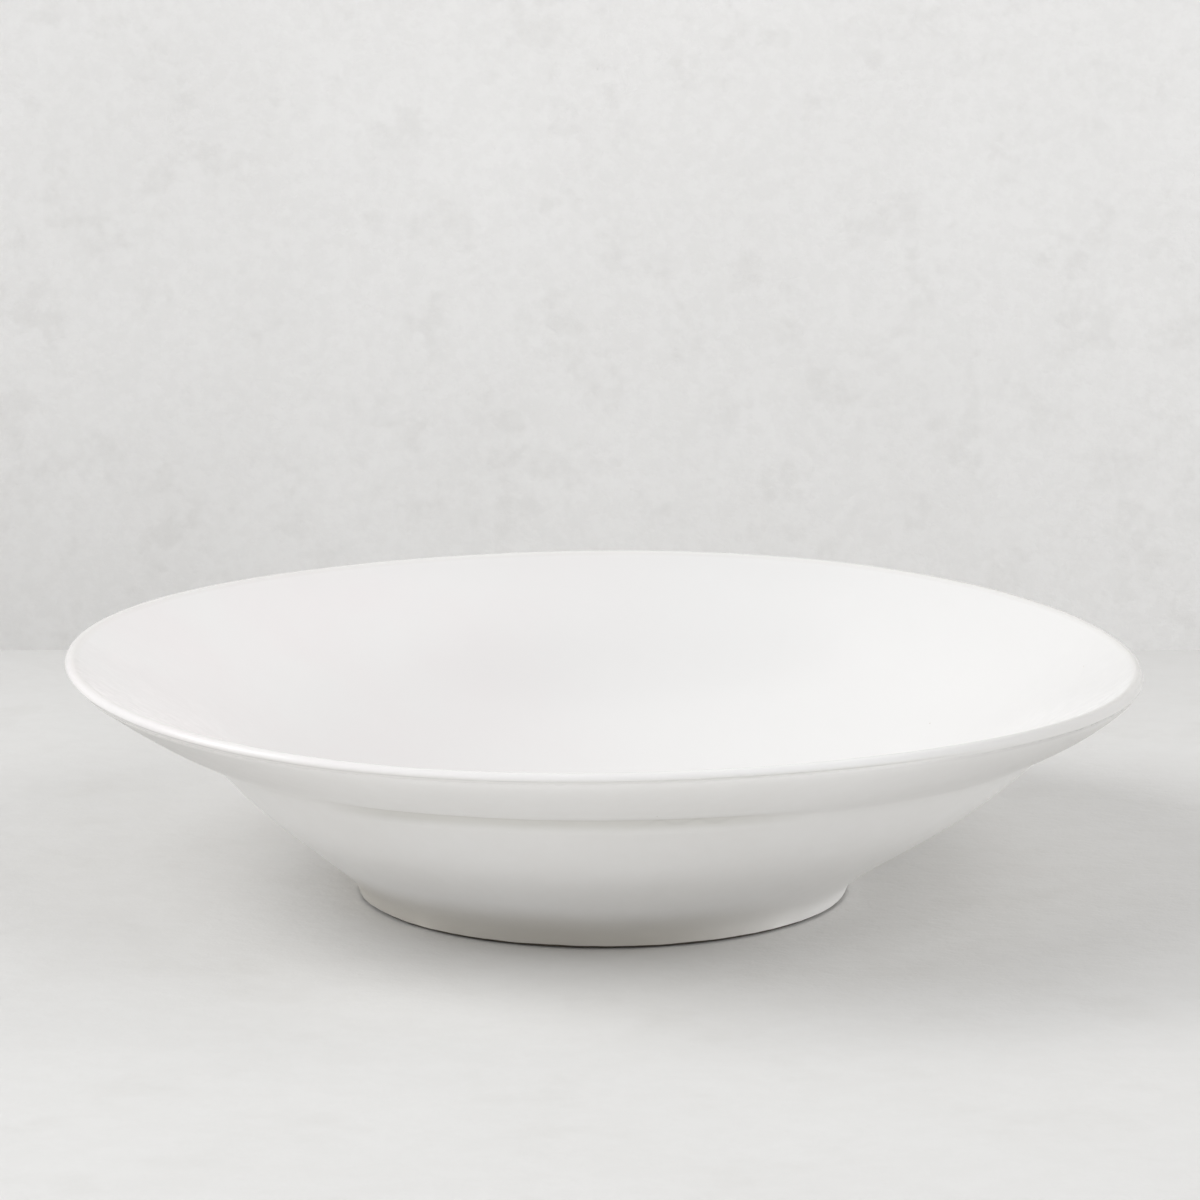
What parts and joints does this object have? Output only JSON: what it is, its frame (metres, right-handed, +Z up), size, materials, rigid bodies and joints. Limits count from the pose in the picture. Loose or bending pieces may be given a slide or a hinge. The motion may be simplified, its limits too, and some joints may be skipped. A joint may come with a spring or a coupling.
{
  "type": "serving bowl",
  "caption": "Wide shallow stoneware serving bowl with a creased wall, a broad sloping flange, a rounded lip and a flared foot ring, under a white glaze.",
  "frame": {"origin": "middle of the foot ring, in the plane that touches the table", "axes": "+Z up out of the bowl's mouth, -Y towards the front in the picture, +X to the right in the picture"},
  "size_m": [0.3557, 0.3556, 0.0818],
  "materials": {
    "stoneware": "matt fired clay",
    "bare_foot": "matt fired clay, rubbed smooth",
    "white_glaze": "smooth white glaze",
    "base_glaze": "smooth white glaze"
  },
  "bodies": {
    "root": {"clay_body": "stoneware", "foot_ring": "bare_foot", "glaze_coat": "white_glaze", "base_glaze": "base_glaze"}
  },
  "joints": []
}
